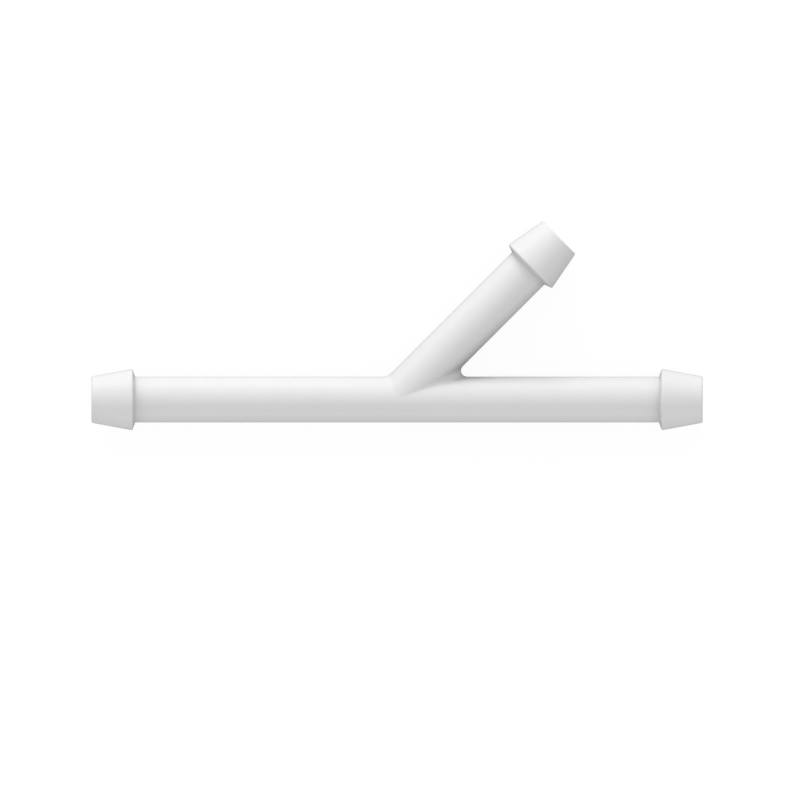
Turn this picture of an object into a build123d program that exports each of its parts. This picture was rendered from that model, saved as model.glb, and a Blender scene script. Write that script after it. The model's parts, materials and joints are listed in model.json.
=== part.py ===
"""Tubing Y connector: one hollow moulding with three hose barbs.

A straight tube, the run, has a barb on each end. A branch tube of the same bore leaves the
middle of the run at 45 degrees and ends in a third barb. The origin is where the bore axes
meet, +X runs along the run towards the side that the branch leans to, +Y is the side that the
branch leaves from, and +Z is square to the plane of the Y. All sizes are in millimetres.
"""
from build123d import *
import os
from math import cos, radians, sin, tan

INCH = 25.4

# Driving dimensions: the tubes
run_length = 5 * INCH  # mouth to mouth, straight through
branch_length = 1.875 * INCH  # from the meeting of the axes to the branch mouth
branch_angle = 45  # between the branch and the +X half of the run
tube_diameter = 0.375 * INCH  # outside, between the barbs
bore_diameter = 0.25 * INCH  # straight, and the same in all three arms

# Driving dimensions: the hose barbs, one form on all three ends
barb_diameter = 0.5 * INCH  # over the rounded rim
barb_length = 8.5  # from the mouth to the corner of the rim
cone_slope = 10.5  # how steeply the barb grows from the mouth, in degrees from its axis
shoulder_slope = 20  # how far the step behind the rim leans back, in degrees from square
rim_rounding = 0.35
mouth_rounding = 0.4

# Driving dimensions: the blends where the branch leaves the run
crotch_blend = 0.05 * INCH  # inside the sharp angle
heel_blend = 0.1 * INCH  # inside the wide angle

# Rounding takes a little off the height of the rim's corner, so the corner starts higher
tube_radius = tube_diameter / 2
rim_turn = radians(cone_slope + 90 - shoulder_slope)  # what the outline turns through there
rim_tilt = radians(90 - shoulder_slope - cone_slope) / 2
corner_radius = barb_diameter / 2 + rim_rounding * (cos(rim_tilt) / cos(rim_turn / 2) - 1)
mouth_radius = corner_radius - barb_length * tan(radians(cone_slope))
shoulder_depth = (corner_radius - tube_radius) * tan(radians(shoulder_slope))

branch_way = (cos(radians(branch_angle)), sin(radians(branch_angle)), 0)
branch_side = (sin(radians(branch_angle)), -cos(radians(branch_angle)), 0)


def arm_section(length):
    """Half the lengthwise section of a solid arm: X along its axis to the mouth, Y outwards."""
    corner = length - barb_length
    with BuildSketch() as section:
        with BuildLine():
            Polyline(
                (0, 0),
                (0, tube_radius),
                (corner - shoulder_depth, tube_radius),
                (corner, corner_radius),
                (length, mouth_radius),
                (length, 0),
                close=True,
            )
        make_face()
        fillet(section.vertices().sort_by(Axis.Y)[-1], radius=rim_rounding)
        mouth = section.vertices().group_by(Axis.X)[-1]
        fillet(mouth.sort_by(Axis.Y)[-1], radius=mouth_rounding)
    return section.sketch


with BuildPart() as y_connector:
    # The run: both arms as one turned form
    with BuildSketch(Plane.XZ):
        add(arm_section(run_length / 2))
        mirror(about=Plane.YZ)
    revolve(axis=Axis.X)

    # The branch: the same arm, shorter, at its angle
    with BuildSketch(Plane((0, 0, 0), x_dir=branch_way, z_dir=branch_side)):
        add(arm_section(branch_length))
    revolve(axis=Axis((0, 0, 0), branch_way))

    # Tubes of one diameter meet in two half ellipses, one in the sharp angle and one in the
    # wide angle. Each blend fades to nothing where the ellipses cross, over the bore axes.
    junction = y_connector.edges().filter_by(GeomType.ELLIPSE)
    fillet(junction.filter_by(lambda edge: edge.center().X > 0), radius=crotch_blend)
    junction = y_connector.edges().filter_by(GeomType.ELLIPSE)
    fillet(junction.filter_by(lambda edge: edge.center().X < 0), radius=heel_blend)

    # The bores, which meet with a sharp inner edge as two core pins leave it
    with BuildSketch(Plane((-run_length / 2, 0, 0), x_dir=(0, 1, 0), z_dir=(1, 0, 0))):
        Circle(bore_diameter / 2)
    extrude(amount=run_length, mode=Mode.SUBTRACT)
    with BuildSketch(Plane((0, 0, 0), x_dir=(0, 0, 1), z_dir=branch_way)):
        Circle(bore_diameter / 2)
    extrude(amount=branch_length, mode=Mode.SUBTRACT)

os.makedirs("parts", exist_ok=True)
y_connector.part.label = "y_connector"
export_step(y_connector.part, "parts/y_connector.step")
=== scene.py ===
"""Tubing Y connector, dressed: a one-piece moulding in satin white plastic on a pale floor.

The moulding is drawn afresh as a fine mesh in the place of the CAD solid. Three arms of one
barbed form meet at the origin. Geometry Nodes turn the section of an arm about its bore axis,
slide its inner end onto the line where the arms meet, and roll a blend into the angle on each
side of the branch.
"""

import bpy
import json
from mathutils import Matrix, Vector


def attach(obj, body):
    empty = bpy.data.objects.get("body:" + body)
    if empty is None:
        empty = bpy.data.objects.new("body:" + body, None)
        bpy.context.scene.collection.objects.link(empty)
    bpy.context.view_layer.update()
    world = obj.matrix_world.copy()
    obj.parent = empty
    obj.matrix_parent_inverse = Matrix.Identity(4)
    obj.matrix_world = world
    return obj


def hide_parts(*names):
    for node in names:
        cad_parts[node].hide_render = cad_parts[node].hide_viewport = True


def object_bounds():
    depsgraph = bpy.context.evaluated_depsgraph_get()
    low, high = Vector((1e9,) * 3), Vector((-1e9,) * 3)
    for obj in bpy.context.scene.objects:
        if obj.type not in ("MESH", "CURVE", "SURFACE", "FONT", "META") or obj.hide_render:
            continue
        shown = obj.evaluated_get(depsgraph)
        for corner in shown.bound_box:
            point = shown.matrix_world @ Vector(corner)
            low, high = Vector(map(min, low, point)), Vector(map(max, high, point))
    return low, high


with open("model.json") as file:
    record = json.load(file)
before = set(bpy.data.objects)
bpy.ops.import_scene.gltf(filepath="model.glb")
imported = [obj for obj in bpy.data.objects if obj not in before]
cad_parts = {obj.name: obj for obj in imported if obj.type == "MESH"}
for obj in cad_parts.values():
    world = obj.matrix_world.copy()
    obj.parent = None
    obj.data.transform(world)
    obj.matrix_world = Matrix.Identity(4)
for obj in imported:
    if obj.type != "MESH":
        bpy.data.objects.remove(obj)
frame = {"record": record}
CAD_BOX = [list(corner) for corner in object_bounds()]

import json
import logging
import math
from collections.abc import Mapping
from dataclasses import dataclass, field
from enum import Enum
from typing import Any

import bpy

MM = 0.001
INCH = 25.4 * MM
LOG = logging.getLogger("y_connector")

# Short names for the kinds of node that the trees use over and over
MATH = "ShaderNodeMath"
VECTOR = "ShaderNodeVectorMath"
INTEGER = "FunctionNodeIntegerMath"

Point = tuple[float, float]
Colour = tuple[float, float, float, float]


def linear(hex_colour: str) -> Colour:
    """Turn an sRGB hex colour into the linear colour that a shader takes.

    Args:
        hex_colour: Six hex digits after a hash.

    Returns:
        Linear red, green and blue, and an alpha of 1.
    """
    levels = [int(hex_colour[start : start + 2], 16) / 255 for start in (1, 3, 5)]
    red, green, blue = (
        level / 12.92 if level <= 0.04045 else ((level + 0.055) / 1.055) ** 2.4
        for level in levels
    )
    return (red, green, blue, 1.0)


def polar(angle: float) -> Point:
    """Give the unit vector at an angle."""
    return (math.cos(angle), math.sin(angle))


def add_node(
    tree: bpy.types.NodeTree,
    kind: str,
    inputs: Mapping[int | str, Any] | None = None,
    **settings: Any,
) -> bpy.types.Node:
    """Add a node, set its properties and feed its sockets.

    Args:
        tree: The node tree that gets the node.
        kind: The node's type name.
        inputs: For each input, by place or by name, a socket or a node to link, or a value.
        settings: The node's own properties, such as operation.

    Returns:
        The new node.
    """
    node = tree.nodes.new(kind)
    for name, value in settings.items():
        setattr(node, name, value)
    for key, value in (inputs or {}).items():
        if isinstance(value, bpy.types.Node):
            value = value.outputs[0]
        if isinstance(value, bpy.types.NodeSocket):
            tree.links.new(value, node.inputs[key])
        else:
            node.inputs[key].default_value = value
    return node


class Skin(Enum):
    """Which side of the wall a ring of the moulding lies on."""

    OUTSIDE = 1.0
    BORE = 0.0


@dataclass(frozen=True)
class Ring:
    """One ring of an arm, turned about the arm's axis.

    Its offset along the axis is counted from the mouth when pull is 0, and from the line where
    the arms meet when pull is 1. In between it follows that line in part, so that the rings
    straighten on their way to the barb.
    """

    offset: float
    radius: float
    pull: float
    skin: Skin


@dataclass(frozen=True)
class Barb:
    """The hose barb that ends every arm: a cone that grows from the mouth to a rounded rim.

    Each rounding is drawn in a number of straight steps. A guard point lies on the flat a
    little past each end of it, and keeps the shading of the flat from bending towards the arc.
    """

    tube_radius: float = 0.375 * INCH / 2
    rim_radius: float = 0.5 * INCH / 2
    length: float = 8.5 * MM
    cone_slope: float = math.radians(10.5)
    shoulder_slope: float = math.radians(20)
    rim_rounding: float = 0.35 * MM
    mouth_rounding: float = 0.4 * MM
    bore_edge_rounding: float = 0.08 * MM
    guard: float = 0.06 * MM
    steps: int = 8

    def outline(self, bore_radius: float) -> list[Point]:
        """Draw the barb's section from the foot of the shoulder, round the lip, into the bore.

        Args:
            bore_radius: Radius of the bore that the lip surrounds.

        Returns:
            Points in order, each a distance from the mouth, negative inwards, and a radius.
        """
        # Rounding takes a little off the height of the rim's corner, so the corner starts higher.
        turn = math.pi / 2 - self.shoulder_slope + self.cone_slope
        tilt = (math.pi / 2 - self.shoulder_slope - self.cone_slope) / 2
        loss = self.rim_rounding * (math.cos(tilt) / math.cos(turn / 2) - 1)
        top = self.rim_radius + loss
        foot = -self.length - (top - self.tube_radius) * math.tan(self.shoulder_slope)
        mouth = top - self.length * math.tan(self.cone_slope)
        start, end = (foot, self.tube_radius), (foot, bore_radius)
        rim, lip, edge = (-self.length, top), (0.0, mouth), (0.0, bore_radius)
        return [
            start,
            *self.rounded(start, rim, lip, self.rim_rounding),
            *self.rounded(rim, lip, edge, self.mouth_rounding),
            *self.rounded(lip, edge, end, self.bore_edge_rounding),
            end,
        ]

    def rounded(self, before: Point, corner: Point, after: Point, radius: float) -> list[Point]:
        """Round one corner of the section.

        Args:
            before: The corner that the outline comes from.
            corner: The sharp corner.
            after: The corner that the outline goes to.
            radius: Radius of the rounding.

        Returns:
            The points of the arc, between its two guard points.
        """
        back = math.atan2(before[1] - corner[1], before[0] - corner[0])
        ahead = math.atan2(after[1] - corner[1], after[0] - corner[0])
        half = math.remainder(ahead - back, math.tau) / 2
        middle = back + half
        far = radius / math.sin(abs(half))
        centre = [at + far * way for at, way in zip(corner, polar(middle))]
        sweep = math.copysign(math.pi - 2 * abs(half), half)
        arc = []
        for step in range(self.steps + 1):
            way = polar(middle + math.pi - sweep * (step / self.steps - 0.5))
            arc.append((centre[0] + radius * way[0], centre[1] + radius * way[1]))
        reach = radius / math.tan(abs(half)) + self.guard
        first, last = (
            (corner[0] + reach * way[0], corner[1] + reach * way[1])
            for way in (polar(back), polar(ahead))
        )
        return [first, *arc, last]


def new_tree(name: str, sizes: Mapping[str, str]) -> tuple[bpy.types.NodeTree, bpy.types.Node]:
    """Start a Geometry Nodes tree that puts out one geometry.

    Args:
        name: The tree's name.
        sizes: The tree's inputs, each a name and the kind of its socket.

    Returns:
        The tree, and the node that gives its inputs.
    """
    tree = bpy.data.node_groups.new(name, "GeometryNodeTree")
    for label, kind in sizes.items():
        tree.interface.new_socket(label, in_out="INPUT", socket_type="NodeSocket" + kind)
    tree.interface.new_socket("Geometry", in_out="OUTPUT", socket_type="NodeSocketGeometry")
    return tree, add_node(tree, "NodeGroupInput")


def end_skin(
    tree: bpy.types.NodeTree,
    grid: bpy.types.Node,
    position: bpy.types.Node,
    outside: bpy.types.Node | float,
    turn: bpy.types.NodeSocket,
) -> None:
    """Put a grid's points in place, mark which skin they are on, and turn the grid to its place.

    Args:
        tree: The tree that draws the skin.
        grid: The node that gives the grid.
        position: The node that gives each point's place.
        outside: 1 on the outside of the moulding and 0 in its bores.
        turn: The socket that gives the turn about the upright axis.
    """
    skin = add_node(tree, "GeometryNodeSetPosition", {"Geometry": grid, "Position": position})
    marked = {"Geometry": skin, "Name": "outside", "Value": outside}
    skin = add_node(tree, "GeometryNodeStoreNamedAttribute", marked, data_type="FLOAT")
    turn_about_z = add_node(tree, "ShaderNodeCombineXYZ", {"Z": turn})
    skin = add_node(tree, "GeometryNodeTransform", {"Geometry": skin, "Rotation": turn_about_z})
    add_node(tree, "NodeGroupOutput", {0: skin})


@dataclass(frozen=True)
class TurnedArm:
    """The nodes that turn an arm's section about its axis and fit its inner end to the Y."""

    name: str = "turned_arm"

    def tree(self) -> bpy.types.NodeTree:
        """Build the tree, for an arm that lies along the X axis before it is turned.

        A grid's rows are the rings of the section, and its columns go round the arm. The line
        where two arms meet, or where a ball rolled along both of them touches this one, is a
        slanted ring, whose slide along the arm grows with the cosine of the angle round it.

        Returns:
            The tree, which puts out the skin of one arm, outside and bore.
        """
        sizes = {"Section": "Geometry", "Around": "Int", "Reach": "Float", "Turn": "Float"}
        for side in ("Left", "Right"):
            sizes |= {side + " Angle": "Float", side + " Blend": "Float"}
        tree, given = new_tree(self.name, sizes)
        section, around = given.outputs["Section"], given.outputs["Around"]
        rows = add_node(tree, "GeometryNodeAttributeDomainSize", {0: section})
        columns = add_node(tree, INTEGER, {0: around, 1: 1}, operation="ADD")
        grid = add_node(tree, "GeometryNodeMeshGrid", {"Vertices X": rows, "Vertices Y": columns})
        index = add_node(tree, "GeometryNodeInputIndex")
        row = add_node(tree, INTEGER, {0: index, 1: columns}, operation="DIVIDE_FLOOR")
        column = add_node(tree, INTEGER, {0: index, 1: columns}, operation="MODULO")

        # What the section says of the ring that a point lies on
        drawn = {"Geometry": section, "Index": row}
        place = add_node(tree, "GeometryNodeInputPosition")
        sampled = drawn | {"Value": place}
        place = add_node(tree, "GeometryNodeSampleIndex", sampled, data_type="FLOAT_VECTOR")
        place = add_node(tree, "ShaderNodeSeparateXYZ", {0: place})
        offset, radius = place.outputs["X"], place.outputs["Y"]
        mark: dict[str, bpy.types.Node] = {}
        for name in ("pull", "outside"):
            value = add_node(
                tree, "GeometryNodeInputNamedAttribute", {"Name": name}, data_type="FLOAT"
            )
            sampled = drawn | {"Value": value}
            mark[name] = add_node(tree, "GeometryNodeSampleIndex", sampled, data_type="FLOAT")

        # The angle of a point round the arm, and how far it faces the arm on each side
        share = add_node(tree, MATH, {0: column, 1: around}, operation="DIVIDE")
        angle = add_node(tree, MATH, {0: share, 1: -math.tau}, operation="MULTIPLY")
        cosine = add_node(tree, MATH, {0: angle}, operation="COSINE")
        sine = add_node(tree, MATH, {0: angle}, operation="SINE")
        left = add_node(tree, MATH, {0: cosine, 1: 0.0}, operation="MAXIMUM")
        right = add_node(tree, MATH, {0: left, 1: cosine}, operation="SUBTRACT")
        slide: bpy.types.Node | float = 0.0
        for side, facing in (("Left", left), ("Right", right)):
            full, blend = given.outputs[side + " Angle"], given.outputs[side + " Blend"]
            half = add_node(tree, MATH, {0: full, 1: 0.5}, operation="MULTIPLY")
            slope = add_node(tree, MATH, {0: half}, operation="TANGENT")
            # The ball rolls on the outside only. In the bore the arms meet with no blend.
            raised = {0: blend, 1: mark["outside"], 2: radius}
            height = add_node(tree, MATH, raised, operation="MULTIPLY_ADD")
            touch = add_node(tree, MATH, {0: height, 1: slope}, operation="DIVIDE")
            slid = {0: touch, 1: facing, 2: slide}
            slide = add_node(tree, MATH, slid, operation="MULTIPLY_ADD")

        pulled = {"Factor": mark["pull"], "A": given.outputs["Reach"], "B": slide}
        along = add_node(tree, "ShaderNodeMix", pulled, data_type="FLOAT")
        turned = {
            "X": add_node(tree, MATH, {0: along, 1: offset}, operation="ADD"),
            "Y": add_node(tree, MATH, {0: radius, 1: cosine}, operation="MULTIPLY"),
            "Z": add_node(tree, MATH, {0: radius, 1: sine}, operation="MULTIPLY"),
        }
        position = add_node(tree, "ShaderNodeCombineXYZ", turned)
        end_skin(tree, grid, position, mark["outside"], given.outputs["Turn"])
        return tree


@dataclass(frozen=True)
class RolledBlend:
    """The nodes that draw a blend, the hollow that a ball leaves when it rolls along two tubes."""

    name: str = "rolled_blend"

    def tree(self) -> bpy.types.NodeTree:
        """Build the tree, for two tubes that lie to each side of the X axis before it is turned.

        The ball's centre keeps to an ellipse upright over the X axis. A grid's rows are the
        ball's stops there, and its columns go round the ball from one tube to the other.

        Returns:
            The tree, which puts out one blend.
        """
        sizes = {"Around": "Int", "Across": "Int", "Tube Radius": "Float"}
        sizes |= {"Blend Radius": "Float", "Angle": "Float", "Turn": "Float"}
        tree, given = new_tree(self.name, sizes)
        around, across = given.outputs["Around"], given.outputs["Across"]
        tube, ball = given.outputs["Tube Radius"], given.outputs["Blend Radius"]
        stops = add_node(tree, INTEGER, {0: around, 1: 2}, operation="DIVIDE")
        rows = add_node(tree, INTEGER, {0: stops, 1: 1}, operation="ADD")
        columns = add_node(tree, INTEGER, {0: across, 1: 1}, operation="ADD")
        grid = add_node(tree, "GeometryNodeMeshGrid", {"Vertices X": rows, "Vertices Y": columns})
        index = add_node(tree, "GeometryNodeInputIndex")
        row = add_node(tree, INTEGER, {0: index, 1: columns}, operation="DIVIDE_FLOOR")
        column = add_node(tree, INTEGER, {0: index, 1: columns}, operation="MODULO")

        # From the lowest stop, under the axis, to the highest
        share = add_node(tree, MATH, {0: row, 1: stops}, operation="DIVIDE")
        swept = {0: share, 1: math.pi, 2: -math.pi / 2}
        angle = add_node(tree, MATH, swept, operation="MULTIPLY_ADD")
        cosine = add_node(tree, MATH, {0: angle}, operation="COSINE")
        sine = add_node(tree, MATH, {0: angle}, operation="SINE")
        half = add_node(tree, MATH, {0: given.outputs["Angle"], 1: 0.5}, operation="MULTIPLY")
        half_cosine = add_node(tree, MATH, {0: half}, operation="COSINE")
        half_sine = add_node(tree, MATH, {0: half}, operation="SINE")

        # The ball's centre, and the way out to it from the middle of the hollow
        reach = add_node(tree, MATH, {0: tube, 1: ball}, operation="ADD")
        out = add_node(tree, MATH, {0: cosine, 1: half_sine}, operation="DIVIDE")
        centre = add_node(tree, "ShaderNodeCombineXYZ", {"X": out, "Z": sine})
        centre = add_node(tree, VECTOR, {0: centre, "Scale": reach}, operation="SCALE")
        outward = add_node(tree, MATH, {0: half_sine, 1: cosine}, operation="MULTIPLY")
        outward = add_node(tree, "ShaderNodeCombineXYZ", {"X": outward, "Z": sine})
        outward = add_node(tree, VECTOR, {0: outward}, operation="NORMALIZE")

        # How far round the ball a column lies, and the point of the ball that is there
        lean = add_node(tree, MATH, {0: half_cosine, 1: cosine}, operation="MULTIPLY")
        lean = add_node(tree, MATH, {0: lean}, operation="ARCSINE")
        part = add_node(tree, MATH, {0: column, 1: across}, operation="DIVIDE")
        part = add_node(tree, MATH, {0: part, 1: 2.0, 2: -1.0}, operation="MULTIPLY_ADD")
        swing = add_node(tree, MATH, {0: part, 1: lean}, operation="MULTIPLY")
        deep = add_node(tree, MATH, {0: swing}, operation="COSINE")
        aside = add_node(tree, MATH, {0: swing}, operation="SINE")
        deep = add_node(tree, VECTOR, {0: outward, "Scale": deep}, operation="SCALE")
        aside = add_node(tree, "ShaderNodeCombineXYZ", {"Y": aside})
        touch = add_node(tree, VECTOR, {0: deep, 1: aside}, operation="ADD")
        touch = add_node(tree, VECTOR, {0: touch, "Scale": ball}, operation="SCALE")
        position = add_node(tree, VECTOR, {0: centre, 1: touch}, operation="SUBTRACT")
        end_skin(tree, grid, position, Skin.OUTSIDE.value, given.outputs["Turn"])
        return tree


@dataclass
class Moulding:
    """The whole connector: three barbed arms and the blends between them, as one closed skin.

    Its bore, its reach and its angle come from the frame, so they are the CAD part's own.
    """

    name: str = "moulding"
    node: str = "y_connector"
    body: str = "root"
    slot: str = "moulded_plastic"
    barb: Barb = field(default_factory=Barb)
    sharp_blend: float = 0.05 * INCH
    wide_blend: float = 0.1 * INCH
    around: int = 120
    across_blend: int = 16
    join_guard: float = 0.12 * MM
    pulls: tuple[float, ...] = (0.9, 0.7, 0.4)
    weld: float = 0.001 * MM
    crease: float = math.radians(35)
    bore_radius: float = field(init=False)
    run_reach: float = field(init=False)
    branch_reach: float = field(init=False)
    branch_angle: float = field(init=False)

    def __post_init__(self) -> None:
        """Read the bore, the reach of the arms and the branch's angle from the frame's mounts."""
        mounts = {mount["name"]: mount for mount in frame["record"]["mounts"]}
        run, branch = mounts["run_bore"], mounts["branch_bore"]
        self.bore_radius = run["dims"]["r_mm"] * MM
        self.run_reach = run["dims"]["length_mm"] * MM / 2
        self.branch_reach = branch["dims"]["length_mm"] * MM
        along_x, along_y, _ = branch["axis"]
        self.branch_angle = math.atan2(along_y, along_x)

    def rings(self) -> list[Ring]:
        """List the rings of an arm, out along its outside, round the lip and back up the bore.

        Returns:
            The rings in order, from the outside's join with the other arms to the bore's.
        """
        tube, bore = self.barb.tube_radius, self.bore_radius
        inner = [(0.0, 1.0), (self.join_guard, 1.0), *((0.0, pull) for pull in self.pulls)]
        lip = self.barb.outline(bore)
        return [
            *(Ring(offset, tube, pull, Skin.OUTSIDE) for offset, pull in inner),
            *(Ring(offset, radius, 0.0, Skin.OUTSIDE) for offset, radius in lip[:-1]),
            Ring(lip[-1][0], bore, 0.0, Skin.BORE),
            *(Ring(offset, bore, pull, Skin.BORE) for offset, pull in reversed(inner)),
        ]

    def section(self) -> bpy.types.Mesh:
        """Draw the rings as points, each a distance along the axis and a radius.

        Returns:
            The points, which carry each ring's pull and the skin it lies on.
        """
        rings = self.rings()
        mesh = bpy.data.meshes.new("arm_section")
        mesh.from_pydata([(ring.offset, ring.radius, 0.0) for ring in rings], [], [])
        pull = mesh.attributes.new("pull", "FLOAT", "POINT")
        outside = mesh.attributes.new("outside", "FLOAT", "POINT")
        for point, ring in enumerate(rings):
            pull.data[point].value = ring.pull
            outside.data[point].value = ring.skin.value
        return mesh

    def tree(self) -> bpy.types.NodeTree:
        """Build the nodes that set three arms and two blends about the origin and join them.

        Returns:
            The tree, whose first input is the section that all the arms share.
        """
        sizes = {"Section": "Geometry", "Finish": "Material", "Around": "Int", "Across": "Int"}
        lengths = ("Tube Radius", "Run Reach", "Branch Reach", "Sharp Blend", "Wide Blend", "Weld")
        sizes |= dict.fromkeys((*lengths, "Branch Angle", "Crease"), "Float")
        tree, given = new_tree("barbed_y", sizes)
        size = given.outputs
        sharp_angle = size["Branch Angle"]
        wide_angle = add_node(tree, MATH, {0: math.pi, 1: sharp_angle}, operation="SUBTRACT")
        sharp_turn = add_node(tree, MATH, {0: sharp_angle, 1: 0.5}, operation="MULTIPLY")
        wide_turn = add_node(tree, MATH, {0: sharp_turn, 1: math.pi / 2}, operation="ADD")
        # The gaps between the arms, each an angle and the radius of the blend in it
        sharp, wide = (sharp_angle, size["Sharp Blend"]), (wide_angle, size["Wide Blend"])
        straight = (math.pi, 0.0)

        skins: list[bpy.types.Node] = []
        arm = TurnedArm().tree()
        for turn, reach, left, right in (
            (0.0, size["Run Reach"], sharp, straight),
            (sharp_angle, size["Branch Reach"], wide, sharp),
            (math.pi, size["Run Reach"], straight, wide),
        ):
            inputs = {"Section": size["Section"], "Around": size["Around"]}
            inputs |= {"Reach": reach, "Turn": turn}
            inputs |= {"Left Angle": left[0], "Left Blend": left[1]}
            inputs |= {"Right Angle": right[0], "Right Blend": right[1]}
            skins.append(add_node(tree, "GeometryNodeGroup", inputs, node_tree=arm))
        blend = RolledBlend().tree()
        for turn, (angle, radius) in ((sharp_turn, sharp), (wide_turn, wide)):
            inputs = {name: size[name] for name in ("Around", "Across", "Tube Radius")}
            inputs |= {"Blend Radius": radius, "Angle": angle, "Turn": turn}
            skins.append(add_node(tree, "GeometryNodeGroup", inputs, node_tree=blend))

        joined = add_node(tree, "GeometryNodeJoinGeometry")
        for skin in skins:
            tree.links.new(skin.outputs[0], joined.inputs[0])
        doubled = {"Geometry": joined, "Distance": size["Weld"]}
        welded = add_node(tree, "GeometryNodeMergeByDistance", doubled)
        smooth = add_node(tree, "GeometryNodeSetShadeSmooth", {"Geometry": welded})
        bend = add_node(tree, "GeometryNodeInputMeshEdgeAngle")
        sharp_edge = add_node(tree, MATH, {0: bend, 1: size["Crease"]}, operation="GREATER_THAN")
        edges = {"Geometry": smooth, "Selection": sharp_edge, "Shade Smooth": False}
        creased = add_node(tree, "GeometryNodeSetShadeSmooth", edges, domain="EDGE")
        plain = add_node(tree, "GeometryNodeRealizeInstances", {"Geometry": creased})
        dress = {"Geometry": plain, "Material": size["Finish"]}
        dressed = add_node(tree, "GeometryNodeSetMaterial", dress)
        add_node(tree, "NodeGroupOutput", {0: dressed})
        return tree

    def build(self, finish: bpy.types.Material) -> bpy.types.Object:
        """Make the moulding as a plain mesh and set it in the place of its CAD node.

        Args:
            finish: The material it is made of.

        Returns:
            The finished piece.
        """
        piece = bpy.data.objects.new(self.name, self.section())
        bpy.context.scene.collection.objects.link(piece)
        modifier = piece.modifiers.new(self.name, "NODES")
        modifier.node_group = self.tree()
        sizes = {
            "Finish": finish,
            "Around": self.around,
            "Across": self.across_blend,
            "Tube Radius": self.barb.tube_radius,
            "Run Reach": self.run_reach,
            "Branch Reach": self.branch_reach,
            "Sharp Blend": self.sharp_blend,
            "Wide Blend": self.wide_blend,
            "Weld": self.weld,
            "Branch Angle": self.branch_angle,
            "Crease": self.crease,
        }
        for socket in modifier.node_group.interface.items_tree:
            if socket.name in sizes:
                modifier[socket.identifier] = sizes[socket.name]
        depsgraph = bpy.context.evaluated_depsgraph_get()
        made = piece.evaluated_get(depsgraph)
        plain = bpy.data.meshes.new_from_object(
            made, preserve_all_data_layers=True, depsgraph=depsgraph
        )
        # Joined grids that have no material bring an empty slot, ahead of the finish's own.
        plain.materials.pop(index=0)
        piece.modifiers.remove(modifier)
        piece.data = plain
        plain.name = self.name
        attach(piece, self.body)
        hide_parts(self.node)
        return piece


@dataclass(frozen=True)
class SatinPolypropylene:
    """White polypropylene, injection moulded against a finely ground steel mould.

    It gives the eye a milky, even white under a soft sheen. The sheen is faint where a face is
    met square on. Near the outline it grows, mirrors what lies beside the part, and draws a
    thin line round the form. The core pins are polished, so the bores shine more.
    """

    name: str = "satin_white_polypropylene"
    clear_colour: str = "#E9E9E9"
    cloudy_colour: str = "#E5E5E5"
    bounce_colour: str = "#505050"
    ior: float = 1.49
    roughness: float = 0.2
    roughness_spread: float = 0.06
    bore_roughness: float = 0.12
    flow_size: float = 3.0 * MM
    flow_detail: float = 2.0
    grain_size: float = 0.25 * MM
    grain_detail: float = 1.0
    grain_depth: float = 0.014 * MM

    def material(self) -> bpy.types.Material:
        """Build the material.

        Returns:
            The material, which reads Object coordinates and the moulding's own skin attribute.
        """
        material = bpy.data.materials.new(self.name)
        material.use_nodes = True
        tree = material.node_tree
        tree.nodes.clear()
        place = add_node(tree, "ShaderNodeTexCoord").outputs["Object"]
        outside = add_node(tree, "ShaderNodeAttribute", attribute_name="outside").outputs["Fac"]

        # Where the plastic cooled slowly it is faintly cloudy, in patches a few millimetres wide
        # that shine a little less.
        drift = {"Vector": place, "Scale": 1 / self.flow_size, "Detail": self.flow_detail}
        flow = add_node(tree, "ShaderNodeTexNoise", drift)
        tone = add_node(tree, "ShaderNodeValToRGB", {0: flow})
        for stop, colour in zip(tone.color_ramp.elements, (self.clear_colour, self.cloudy_colour)):
            stop.color = linear(colour)
        low = self.roughness - self.roughness_spread / 2
        spread = {"Value": flow, "To Min": low, "To Max": low + self.roughness_spread}
        patches = add_node(tree, "ShaderNodeMapRange", spread)
        skins = {"Factor": outside, "A": self.bore_roughness, "B": patches}
        sheen = add_node(tree, "ShaderNodeMix", skins, data_type="FLOAT")

        # The mould's real grain is about a tenth as wide. It is drawn this coarse so it shows.
        ground = {"Vector": place, "Scale": 1 / self.grain_size, "Detail": self.grain_detail}
        grain = add_node(tree, "ShaderNodeTexNoise", ground)
        relief = {"Height": grain, "Distance": self.grain_depth}
        surface = {"Base Color": tone, "IOR": self.ior, "Roughness": sheen}
        surface |= {"Normal": add_node(tree, "ShaderNodeBump", relief)}
        plastic = add_node(tree, "ShaderNodeBsdfPrincipled", surface)

        # Light that the plastic throws onto its own faces and onto the floor is dulled, so that
        # the corners and the bores keep their shade.
        dulled = add_node(tree, "ShaderNodeBsdfDiffuse", {"Color": linear(self.bounce_colour)})
        bounced = add_node(tree, "ShaderNodeLightPath").outputs["Is Diffuse Ray"]
        either = add_node(tree, "ShaderNodeMixShader", {0: bounced, 1: plastic, 2: dulled})
        add_node(tree, "ShaderNodeOutputMaterial", {"Surface": either})
        return material


@dataclass(frozen=True)
class Softbox:
    """A round, evenly bright lamp that faces the origin and leaves no spot in a sheen.

    Its azimuth is counted from the X axis towards the Y axis.
    """

    name: str
    azimuth: float
    elevation: float
    radius: float
    brightness: float
    distance: float = 1.2

    def build(self) -> bpy.types.Object:
        """Hang the lamp in its place.

        Returns:
            The lamp.
        """
        lamp = bpy.data.lights.new(self.name, "AREA")
        lamp.shape = "DISK"
        lamp.size = 2 * self.radius
        # The energy grows with the lamp's face, so brightness means the same at any radius.
        lamp.energy = self.brightness * (math.pi * self.radius) ** 2
        hung = bpy.data.objects.new(self.name, lamp)
        hung.visible_glossy = False
        level = self.distance * math.cos(self.elevation)
        height = self.distance * math.sin(self.elevation)
        hung.location = (level * math.cos(self.azimuth), level * math.sin(self.azimuth), height)
        hung.rotation_euler = (-hung.location).to_track_quat("-Z", "Y").to_euler()
        bpy.context.scene.collection.objects.link(hung)
        return hung


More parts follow.
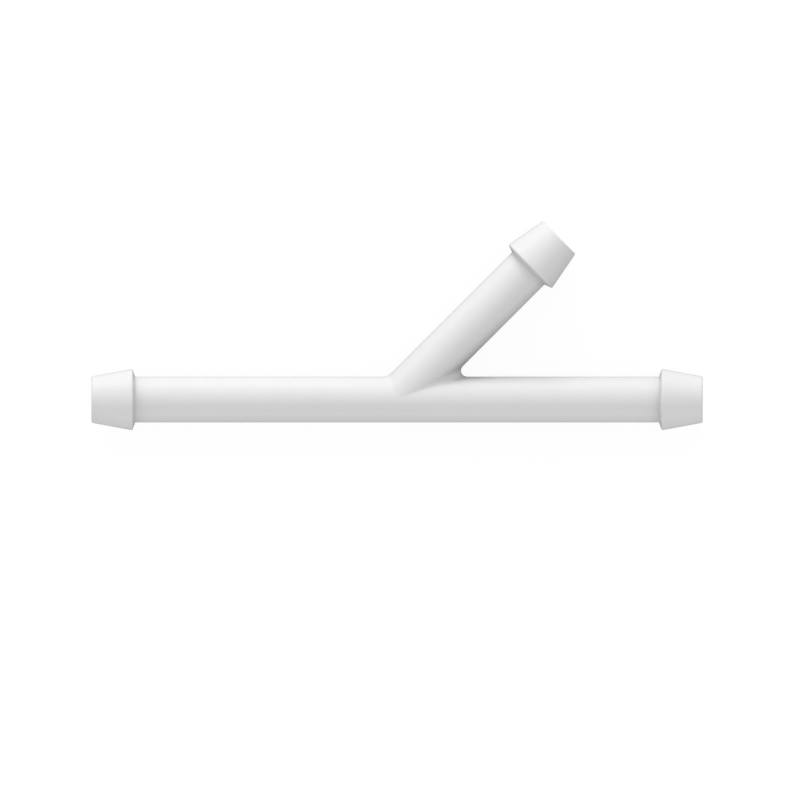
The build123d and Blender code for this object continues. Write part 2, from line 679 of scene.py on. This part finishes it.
@dataclass(frozen=True)
class Studio:
    """A plain pale floor in an even white room, with soft lamps from the branch's side.

    The key is low, because a round tube shades smoothly from top to bottom under a low lamp. A
    weaker lamp across from it keeps the far flank from going flat.

    The camera sees the floor mostly as an even glow, by seen_share, and for the rest as lit
    paper, which takes the part's shadow. In what the part mirrors the glow's share is smaller.
    """

    floor_width: float = 6.0
    floor_colour: str = "#C6C6C6"
    seen_share: float = 0.88
    mirrored_share: float = 0.15
    shown_strength: float = 1.085
    room_colour: str = "#FFFFFF"
    room_strength: float = 0.67
    lamps: tuple[Softbox, ...] = (
        Softbox("wide_softbox", math.radians(106), math.radians(30), 0.56, 0.5),
        Softbox("key_softbox", math.radians(92), math.radians(13), 0.26, 8.5),
        Softbox("side_softbox", math.radians(120), math.radians(13), 0.26, 3.4),
        Softbox("fill_softbox", math.radians(-90), math.radians(13), 0.26, 2.8),
    )

    def shown(self, tree: bpy.types.NodeTree, seen: float, mirrored: float) -> bpy.types.Node:
        """Tell the rays that show the background from those that only carry its light.

        Args:
            tree: The shader tree that asks.
            seen: What a ray straight from the camera gets.
            mirrored: What a ray gets that comes off something glossy or through something clear.

        Returns:
            A node that gives these, and 0 for any other ray.
        """
        path = add_node(tree, "ShaderNodeLightPath").outputs
        rays = {0: path["Is Glossy Ray"], 1: path["Is Transmission Ray"]}
        bent = add_node(tree, MATH, rays, operation="MAXIMUM")
        bent = add_node(tree, MATH, {0: bent, 1: mirrored}, operation="MULTIPLY")
        shown = {0: path["Is Camera Ray"], 1: seen, 2: bent}
        return add_node(tree, MATH, shown, operation="MULTIPLY_ADD")

    def floor(self) -> bpy.types.Object:
        """Lay the floor under the CAD part's lowest point.

        Returns:
            The floor.
        """
        half, low = self.floor_width / 2, CAD_BOX[0][2]
        mesh = bpy.data.meshes.new("floor")
        corners = [(-half, -half, low), (half, -half, low), (half, half, low), (-half, half, low)]
        mesh.from_pydata(corners, [], [(0, 1, 2, 3)])
        mesh.materials.append(self.paper())
        floor = bpy.data.objects.new("floor", mesh)
        bpy.context.scene.collection.objects.link(floor)
        return floor

    def paper(self) -> bpy.types.Material:
        """Make the floor's matt paper, which is seen as white and still takes a shadow.

        Returns:
            The material, which is clear to a camera under the floor.
        """
        material = bpy.data.materials.new("white_paper")
        material.use_nodes = True
        tree = material.node_tree
        tree.nodes.clear()
        matt = add_node(tree, "ShaderNodeBsdfDiffuse", {"Color": linear(self.floor_colour)})
        glow = add_node(tree, "ShaderNodeEmission", {"Strength": self.shown_strength})
        share = self.shown(tree, self.seen_share, self.mirrored_share)
        front = add_node(tree, "ShaderNodeMixShader", {0: share, 1: matt, 2: glow})
        behind = add_node(tree, "ShaderNodeNewGeometry").outputs["Backfacing"]
        camera = add_node(tree, "ShaderNodeLightPath").outputs["Is Camera Ray"]
        below = add_node(tree, MATH, {0: behind, 1: camera}, operation="MULTIPLY")
        clear = add_node(tree, "ShaderNodeBsdfTransparent")
        both = add_node(tree, "ShaderNodeMixShader", {0: below, 1: front, 2: clear})
        add_node(tree, "ShaderNodeOutputMaterial", {"Surface": both})
        return material

    def room(self) -> None:
        """Light the scene evenly from all sides, and show the room as white."""
        world = bpy.data.worlds.new("white_room")
        world.use_nodes = True
        tree = world.node_tree
        tree.nodes.clear()
        levels = {"Factor": self.shown(tree, 1.0, 1.0), "A": self.room_strength, "B": 1.0}
        strength = add_node(tree, "ShaderNodeMix", levels, data_type="FLOAT")
        light = {"Color": linear(self.room_colour), "Strength": strength}
        background = add_node(tree, "ShaderNodeBackground", light)
        add_node(tree, "ShaderNodeOutputWorld", {"Surface": background})
        bpy.context.scene.world = world

    def build(self) -> None:
        """Lay the floor, light the room and hang the lamps."""
        self.floor()
        self.room()
        for lamp in self.lamps:
            LOG.info("lamp %s", lamp.build().name)


@dataclass(frozen=True)
class TopCamera:
    """A camera straight above the part, with no perspective."""

    centre: Point = (0.609 * MM, -0.094 * MM)
    width: float = 166.23 * MM
    height: float = 0.5
    nearest: float = 0.01

    def build(self) -> bpy.types.Object:
        """Hang the camera, and make it the scene's own.

        Returns:
            The camera.
        """
        lens = bpy.data.cameras.new("top_camera")
        lens.type = "ORTHO"
        lens.ortho_scale = self.width
        lens.clip_start = self.nearest
        camera = bpy.data.objects.new("top_camera", lens)
        camera.location = (*self.centre, self.height)
        bpy.context.scene.collection.objects.link(camera)
        bpy.context.scene.camera = camera
        return camera


def main() -> None:
    """Build the connector, the studio and the camera."""
    logging.basicConfig(level=logging.INFO, format="%(name)s: %(message)s")
    bpy.context.scene.view_settings.view_transform = "Standard"
    piece = Moulding().build(SatinPolypropylene().material())
    LOG.info("piece %s: %d faces", piece.name, len(piece.data.polygons))
    Studio().build()
    LOG.info("camera %s", TopCamera().build().name)


if __name__ == "__main__":
    main()
